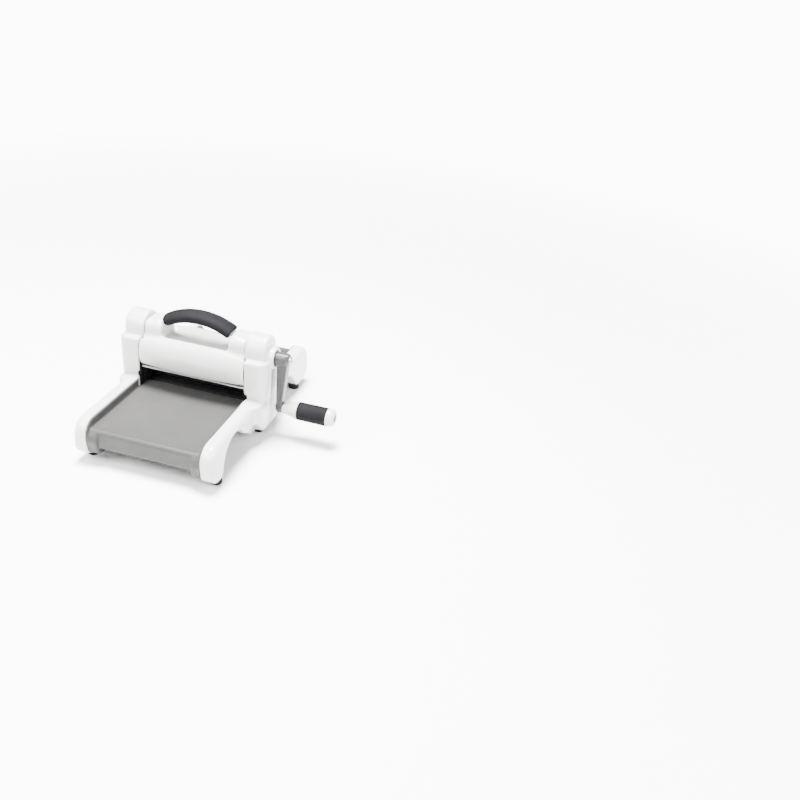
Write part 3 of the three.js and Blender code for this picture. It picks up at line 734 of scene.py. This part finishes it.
# ---------------------------------------------------------------- crank
ARM_IN = 117.0
ARM_OUT = 126.0
SHAFT_R, SCREW_R, SPINDLE_R = 5.0, 2.5, 3.5
BARREL_END_R, BOSS_R = 9.5, 8
SLEEVE_R, CORE_R = 13.0, 10.5
arm_side = [(-0.01, GRIP_Z, 7), (0.01, GRIP_Z, 7), (0, CRANK_Z + 3, 6.5)]
arm_front = [
    (ARM_IN + 2, GRIP_Z - 5, 2),
    (ARM_OUT - 2, GRIP_Z - 5, 2),
    (ARM_OUT + 8, GRIP_Z + 10, -8),
    (ARM_TOP_OUT - 3, CRANK_Z + 7, 3),
    (ARM_IN + 2, CRANK_Z + 8, 2),
]


def crank_arm(name):
    """An arm that grows thicker towards its barrel on the shaft, with a boss at the grip."""
    low = (HUB_FACE - 5, -13, GRIP_Z - 10)
    high = (ARM_TOP_OUT + 2, 13, CRANK_Z + 13)
    space = Space(low, high, CRANK_CELL)
    x = space.x
    made = both(space.across(belt(arm_front), "xz"), space.across(belt(arm_side), "yz"), 1.6)
    barrel = space.rod_x(0, CRANK_Z, BARREL_END_R)
    barrel = slab(barrel, HUB_FACE - 2 - x, x - (ARM_TOP_OUT - 2.5), 0.6, 2.5)
    boss = space.rod_x(0, GRIP_Z, BOSS_R)
    boss = slab(boss, ARM_IN + 0.5 - x, x - (ARM_OUT - 0.5), 1.2, 1.2)
    made = either(either(made, barrel, 0.8), boss, 0.8)
    made = both(made, -both(space.rod_x(0, CRANK_Z, SHAFT_R + GAP), x - (ARM_IN + 3 + GAP)))
    made = both(made, -space.rod_x(0, CRANK_Z, SCREW_R + GAP))
    made = both(made, -space.rod_x(0, GRIP_Z, SPINDLE_R + GAP))
    return space.mesh(name, made)


def make_crank():
    finish(crank_arm("crank_lever"), "crank", "crank_grey", crank_grey, "crank_arm")
    at = (0, CRANK_Z)
    head = ARM_TOP_OUT + GAP
    screw = turned(
        "crank_cap_screw",
        [
            (0, ARM_IN - 7),
            (SCREW_R, ARM_IN - 7),
            (SCREW_R, head),
            (5.5, head),
            (5.5, head + 1.4),
            (4, head + 2.7),
            (2.4, head + 2.7),
            (2.3, head + 1.2),
            (0, head + 1.0),
        ],
        at,
        radius=0.3,
    )
    finish(screw, "crank", "steel", gear_steel, "crank_screw")
    at = (0, GRIP_Z)
    sleeve_in, sleeve_out = span("grip_sleeve", 0)
    boss = GRIP_END - 7
    spindle = turned(
        "grip_axle",
        [
            (0, ARM_IN - 2.6),
            (6, ARM_IN - 2.6, 1.2),
            (6, ARM_IN - GAP, 0.3),
            (SPINDLE_R, ARM_IN - GAP),
            (SPINDLE_R, boss - 2),
            (5.5, boss - 2),
            (5.5, boss),
            (0, boss),
        ],
        at,
    )
    finish(spindle, "crank", "steel", steel, "grip_spindle")
    inner = SPINDLE_R + GAP
    neck = turned(
        "grip_neck",
        [
            (inner, ARM_OUT + GAP, 0.3),
            (BOSS_R, ARM_OUT + GAP, 0.8),
            (8.6, ARM_OUT + 6, 8),
            (12, sleeve_in - 5, 6),
            (SLEEVE_R, sleeve_in - 2, 1.5),
            (SLEEVE_R, sleeve_in - GAP, 0.4),
            (CORE_R, sleeve_in - GAP, 0.1),
            (CORE_R, sleeve_out, 0.3),
            (inner, sleeve_out, 0.3),
        ],
        at,
        closed=True,
    )
    finish(neck, "grip", "white_body", white, "grip_core")
    sleeve = turned(
        "grip_soft_sleeve",
        [
            (CORE_R + GAP, sleeve_in, 0.1),
            (SLEEVE_R, sleeve_in, 0.9),
            (SLEEVE_R + 0.12, (sleeve_in + sleeve_out) / 2, 30),
            (SLEEVE_R, sleeve_out, 0.9),
            (CORE_R + GAP, sleeve_out, 0.1),
        ],
        at,
        closed=True,
    )
    finish(sleeve, "grip", "grip_grey", soft_grey, "grip_sleeve")
    cap = turned(
        "grip_end_piece",
        [
            (inner, sleeve_out + GAP, 0.2),
            (SLEEVE_R, sleeve_out + GAP, 0.5),
            (SLEEVE_R, GRIP_END - 6, 5),
            (SLEEVE_R - 1.6, GRIP_END - 2.0, 5),
            (SLEEVE_R - 5, GRIP_END, 3),
            (6.3, GRIP_END, 0.5),
            (6.3, boss - 2 - GAP, 0.1),
            (inner, boss - 2 - GAP, 0.1),
        ],
        at,
        closed=True,
    )
    finish(cap, "grip", "white_body", white, "grip_end_cap")
    plug = turned(
        "grip_end_plug",
        [
            (0, boss + GAP),
            (6, boss + GAP),
            (6, GRIP_END - 0.6, 0.6),
            (3.6, GRIP_END - 0.6, 0.3),
            (3.3, GRIP_END - 1.2, 0.3),
            (0, GRIP_END - 1.3),
        ],
        at,
    )
    finish(plug, "grip", "cap_grey", cap_grey, "grip_plug")


# ---------------------------------------------------------------- rollers, rods and feet
JOURNAL_R = 7
FOOT_BORE_R, FOOT_RECESS_R, FOOT_RECESS = 2.3, 4.2, 3.5


def make_rollers():
    for place, z in (("upper", UPPER_Z), ("lower", LOWER_Z)):
        low, high = span(f"{place}_roller", 0)
        bottom, top = span(f"{place}_roller", 2)
        r = (top - bottom) / 2
        end = SIDE - 1.5
        made = turned(
            f"{place}_steel_roller",
            [
                (0, low),
                (JOURNAL_R, low, 0.8),
                (JOURNAL_R, -end, 0.3),
                (r - 1.2, -end, 0.3),
                (r, -end + 1.2, 0.5),
                (r, end - 1.2, 0.5),
                (r - 1.2, end, 0.3),
                (JOURNAL_R, end, 0.3),
                (JOURNAL_R, high, 0.8),
                (0, high),
            ],
            (0, z),
            segments=128,
        )
        # The rollers' near-black colour is painted shade for the slot under the covers.
        finish(made, f"{place}_roller", "roller_grey", roller_grey, f"{place}_roller")
    for place in ("lower_front", "lower_rear", "upper_front", "upper_rear"):
        node = f"tie_rod_{place}"
        low, high = span(node, 0)
        y, z = (sum(span(node, a)) / 2 for a in (1, 2))
        rod = turned(
            f"{place}_tie_rod",
            [(0, low), (TIE_R, low, 0.8), (TIE_R, high, 0.8), (0, high)],
            (y, z),
            segments=48,
        )
        finish(rod, "housing", "steel", steel, node)


def make_feet():
    for side in ("right", "left"):
        for place in ("front", "middle", "rear"):
            node = f"{place}_foot_{side}"
            inner, outer = span(node, 0)
            y = sum(span(node, 1)) / 2
            low, high = span(node, 2)
            r = (outer - inner) / 2
            made = turned(
                f"{place}_rubber_foot_{side}",
                [
                    (FOOT_BORE_R, FOOT_RECESS, 0.1),
                    (FOOT_RECESS_R, FOOT_RECESS, 0.2),
                    (FOOT_RECESS_R, low, 0.4),
                    (r - 1.4, low, 0.6),
                    (r - 0.5, low + 1.2, 0.8),
                    (r, high - 1, 0.8),
                    (r - 0.4, high, 0.4),
                    (FOOT_BORE_R, high, 0.1),
                ],
                ((inner + outer) / 2, y),
                axis="Z",
                segments=64,
                closed=True,
            )
            finish(made, "housing", "foot_rubber", rubber, node)


# ---------------------------------------------------------------- materials
def finish(piece, body, slot, material, *replaced):
    piece.data.materials.clear()
    piece.data.materials.append(material)
    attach(piece, body)
    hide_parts(*replaced)
    return piece


class Nodes:
    """A material with object-space coordinates and a Principled shader."""

    def __init__(self, name, **values):
        self.material = bpy.data.materials.new(name)
        self.material.use_nodes = True
        self.tree = self.material.node_tree
        self.shader = self.tree.nodes["Principled BSDF"]
        for key, value in values.items():
            self.shader.inputs[key.replace("_", " ")].default_value = value
        self.place = self.add("ShaderNodeTexCoord").outputs["Object"]

    def add(self, kind, **settings):
        node = self.tree.nodes.new(kind)
        for key, value in settings.items():
            if key in node.inputs:
                node.inputs[key].default_value = value
            else:
                setattr(node, key, value)
        return node

    def link(self, a, b):
        self.tree.links.new(a, b)

    def stretch(self, scale):
        node = self.add("ShaderNodeMapping")
        node.inputs["Scale"].default_value = scale
        self.link(self.place, node.inputs["Vector"])
        return node.outputs["Vector"]

    def noise(self, scale, detail=4.0, rough=0.55, vector=None):
        node = self.add("ShaderNodeTexNoise", Scale=scale, Detail=detail, Roughness=rough)
        self.link(vector or self.place, node.inputs["Vector"])
        return node.outputs["Fac"]

    def ramp(self, source, low, high, out_low, out_high):
        node = self.add("ShaderNodeMapRange")
        limits = {"From Min": low, "From Max": high, "To Min": out_low, "To Max": out_high}
        for key, value in limits.items():
            node.inputs[key].default_value = value
        self.link(source, node.inputs["Value"])
        return node.outputs["Result"]

    def mix(self, source, dark, light):
        node = self.add("ShaderNodeMix", data_type="RGBA")
        node.inputs[6].default_value = (*dark, 1)
        node.inputs[7].default_value = (*light, 1)
        self.link(source, node.inputs["Factor"])
        return node.outputs[2]

    def bump(self, height, strength, distance, under=None):
        node = self.add("ShaderNodeBump", Strength=strength, Distance=distance)
        self.link(height, node.inputs["Height"])
        if under is not None:
            self.link(under, node.inputs["Normal"])
        self.link(node.outputs["Normal"], self.shader.inputs["Normal"])
        return node.outputs["Normal"]

    def colour(self, source, dark, light):
        """Base colour between two shades, as the source goes from 0 to 1."""
        self.link(self.mix(source, dark, light), self.shader.inputs["Base Color"])

    def cloudy(self, source, dark, light):
        """The same with more contrast, for a source that stays near the middle."""
        self.colour(self.ramp(source, 0.35, 0.65, 0, 1), dark, light)

    def roughness(self, source, low, high):
        self.link(self.ramp(source, 0.3, 0.7, low, high), self.shader.inputs["Roughness"])


def white_plastic():
    m = Nodes("white_moulded_plastic", Coat_Weight=0.25, Coat_Roughness=0.18, IOR=1.49)
    cloud = m.noise(9, 3)
    m.cloudy(cloud, (0.52, 0.517, 0.506), (0.555, 0.551, 0.54))
    haze = m.noise(60, 5, 0.6)
    m.roughness(haze, 0.27, 0.36)
    grain = m.noise(2600, 2)
    m.bump(grain, 0.05, 0.00008)
    return m.material


def tray_plastic():
    m = Nodes("grey_tray_plastic", IOR=1.48, Specular_IOR_Level=0.2)
    cloud = m.noise(14, 4)
    m.cloudy(cloud, (0.037, 0.0366, 0.0349), (0.0424, 0.0419, 0.04))
    wear = m.noise(1, 6, 0.65, m.stretch((420, 10, 420)))
    m.link(m.ramp(wear, 0.4, 0.75, 0.42, 0.54), m.shader.inputs["Roughness"])
    grain = m.noise(1500, 3, 0.6)
    first = m.bump(grain, 0.22, 0.00015)
    scuff = m.ramp(m.noise(1, 3, 0.5, m.stretch((900, 8, 900))), 0.62, 0.8, 0, 1)
    m.bump(scuff, 0.05, 0.0001, first)
    return m.material


def soft_grip():
    m = Nodes("soft_dark_grip", IOR=1.3, Specular_IOR_Level=0.05)
    cloud = m.noise(40, 4)
    m.cloudy(cloud, (0.0064, 0.0065, 0.0072), (0.0084, 0.0086, 0.0095))
    m.roughness(m.noise(220, 4), 0.55, 0.66)
    first = m.bump(m.noise(2400, 3, 0.6), 0.25, 0.00012)
    m.bump(m.noise(160, 3), 0.08, 0.0003, first)
    return m.material


def crank_paint():
    m = Nodes("grey_crank_paint", IOR=1.5, Specular_IOR_Level=0.35)
    cloud = m.noise(50, 4)
    m.cloudy(cloud, (0.026, 0.026, 0.028), (0.031, 0.031, 0.033))
    m.roughness(m.noise(500, 4), 0.33, 0.45)
    m.bump(m.noise(1800, 2), 0.12, 0.0001)
    return m.material


def cap_plastic():
    m = Nodes("grey_cap_plastic", IOR=1.48)
    m.colour(m.noise(90, 4), (0.06, 0.06, 0.061), (0.075, 0.075, 0.076))
    m.roughness(m.noise(400, 3), 0.38, 0.5)
    m.bump(m.noise(2200, 2), 0.1, 0.0001)
    return m.material


def metal(name, dark, light, rough, scale):
    """Turned or ground metal: fine lines across X, clouded by handling."""
    m = Nodes(name, Metallic=1.0, Anisotropic=0.4)
    lines = m.noise(1, 4, 0.6, m.stretch(scale))
    m.colour(m.ramp(lines, 0.3, 0.7, 0, 1), dark, light)
    m.roughness(m.noise(70, 5, 0.6), rough - 0.06, rough + 0.08)
    m.bump(lines, 0.15, 0.00008)
    return m.material


def rubber_foot():
    m = Nodes("black_foot_rubber", IOR=1.5, Specular_IOR_Level=0.12)
    m.colour(m.noise(120, 4), (0.003, 0.003, 0.003), (0.006, 0.006, 0.0065))
    m.roughness(m.noise(500, 4), 0.55, 0.75)
    m.bump(m.noise(1500, 3), 0.3, 0.00015)
    return m.material


def shade_darkened_roller():
    """Steel darkened almost to black as painted shade for the dark slot, with faint lines round it."""
    m = Nodes("roller_steel_painted_shade", Specular_IOR_Level=0.12)
    lines = m.noise(1, 4, 0.6, m.stretch((4000, 40, 40)))
    m.colour(m.ramp(lines, 0.3, 0.7, 0, 1), (0.006, 0.006, 0.0065), (0.010, 0.010, 0.011))
    m.roughness(m.noise(70, 5, 0.6), 0.5, 0.62)
    m.bump(lines, 0.05, 0.00005)
    return m.material


def black_moulding_and_painted_shade():
    m = Nodes("black_moulding_and_painted_shade", IOR=1.48, Specular_IOR_Level=0.15)
    # Near-black: the own colour of the black parts, and on the inner walls also painted shade for the slot.
    m.colour(m.noise(120, 4), (0.003, 0.003, 0.0033), (0.006, 0.006, 0.0066))
    m.roughness(m.noise(300, 4), 0.4, 0.55)
    m.bump(m.noise(1800, 2), 0.15, 0.0001)
    return m.material


def coated_plate():
    m = Nodes("black_coated_plate", IOR=1.5, Metallic=0.2)
    m.colour(m.noise(160, 5), (0.025, 0.026, 0.028), (0.05, 0.052, 0.056))
    m.roughness(m.noise(500, 4), 0.45, 0.6)
    m.bump(m.noise(2200, 3), 0.2, 0.0001)
    return m.material


white = white_plastic()
tray_grey = tray_plastic()
soft_grey = soft_grip()
crank_grey = crank_paint()
cap_grey = cap_plastic()
steel = metal("ground_steel", (0.50, 0.505, 0.51), (0.62, 0.625, 0.63), 0.24, (6000, 60, 60))
gear_steel = metal("gear_steel", (0.30, 0.30, 0.31), (0.42, 0.42, 0.43), 0.36, (200, 2600, 2600))
bronze = metal("sintered_bronze", (0.36, 0.23, 0.09), (0.50, 0.34, 0.15), 0.4, (900, 900, 900))
roller_grey = shade_darkened_roller()
rubber = rubber_foot()
black = black_moulding_and_painted_shade()
coated = coated_plate()
CAD_MATERIALS = {
    "frame_plate": coated,
    "gear_steel": gear_steel,
    "bronze": bronze,
    "black_plastic": black,
    "steel": steel,
}


def dress_cad():
    """Better materials on the CAD nodes that stay: gears, plates, bushes, nuts and shafts."""
    slots = {s["node"]: s["material_slot"] for s in frame["record"]["subparts"]}
    for name, node in nodes.items():
        material = CAD_MATERIALS.get(slots[name])
        if material:
            for entry in node.material_slots:
                entry.material = material


# ---------------------------------------------------------------- studio, in metres
FLOOR_HALF = 3.0
FADE_FROM, FADE_TO = 0.7, 1.7  # the floor thins out into the backdrop
AMBIENT, BACKDROP = 0.15, 12.0
LIGHTS = (
    # name, place from the machine, watts, width, colour
    ("key", (-0.9, -1.3, 1.6), 122, 1.2, (1.0, 0.99, 0.97)),
    ("side", (1.8, -0.6, 0.9), 85, 1.4, (0.96, 0.98, 1.0)),
    ("top", (-0.15, 0.1, 2.4), 680, 0.9, (1.0, 1.0, 1.0)),
)


def studio():
    corners = [(-1, -1), (1, -1), (1, 1), (-1, 1)]
    floor = bpy.data.meshes.new("studio_floor")
    floor.from_pydata([(FLOOR_HALF * u, FLOOR_HALF * v, 0) for u, v in corners], [], [(0, 1, 2, 3)])
    ground = new_object("studio_floor", floor)
    m = Nodes("pale_floor", Roughness=0.55)
    m.colour(m.noise(3, 3), (0.90, 0.90, 0.90), (0.92, 0.92, 0.92))
    away = m.add("ShaderNodeVectorMath", operation="LENGTH")
    m.link(m.place, away.inputs["Vector"])
    m.link(m.ramp(away.outputs["Value"], FADE_FROM, FADE_TO, 1, 0), m.shader.inputs["Alpha"])
    floor.materials.append(m.material)

    world = bpy.data.worlds.new("studio")
    bpy.context.scene.world = world
    world.use_nodes = True
    tree = world.node_tree
    background = tree.nodes["Background"]
    background.inputs["Color"].default_value = (1, 1, 1, 1)
    path = tree.nodes.new("ShaderNodeLightPath")
    seen = tree.nodes.new("ShaderNodeMapRange")
    seen.inputs["To Min"].default_value = AMBIENT
    seen.inputs["To Max"].default_value = BACKDROP
    tree.links.new(path.outputs["Is Camera Ray"], seen.inputs["Value"])
    tree.links.new(seen.outputs["Result"], background.inputs["Strength"])

    centre = Vector((MID * MM, 0, 0.06))
    for name, place, power, width, tint in LIGHTS:
        light = bpy.data.lights.new(name, "AREA")
        light.energy = power
        light.size = width
        light.color = tint
        lamp = new_object(name, light)
        lamp.location = centre + Vector(place)
        lamp.rotation_euler = (centre - lamp.location).to_track_quat("-Z", "Y").to_euler()


# The photograph's viewpoint, aimed right of the machine and past it: degrees, then millimetres.
VIEW_AZIMUTH, VIEW_ELEVATION, VIEW_ROLL = 12.549, 30.058, 6.013
VIEW_DISTANCE = 1281.803
VIEW_TARGET = (278.397, 67.223, 60)
LENS, SENSOR = 40.019715, 36


def camera():
    azimuth, elevation = math.radians(VIEW_AZIMUTH), math.radians(VIEW_ELEVATION)
    target = (Vector(VIEW_TARGET) + Vector((MID, 0, 0))) * MM
    back = Vector(
        (
            math.sin(azimuth) * math.cos(elevation),
            -math.cos(azimuth) * math.cos(elevation),
            math.sin(elevation),
        )
    )
    data = bpy.data.cameras.new("camera")
    data.sensor_width = SENSOR
    data.lens = LENS
    data.clip_start, data.clip_end = 0.05, 50
    view = new_object("camera", data)
    place = Matrix.Translation(target + back * VIEW_DISTANCE * MM)
    turn = (-back).to_track_quat("-Z", "Y").to_matrix().to_4x4()
    view.matrix_world = place @ turn @ Matrix.Rotation(math.radians(VIEW_ROLL), 4, "Z")
    bpy.context.scene.camera = view


camera()
studio()
make_housings()
make_top()
make_trays()
make_crank()
make_rollers()
make_feet()
dress_cad()
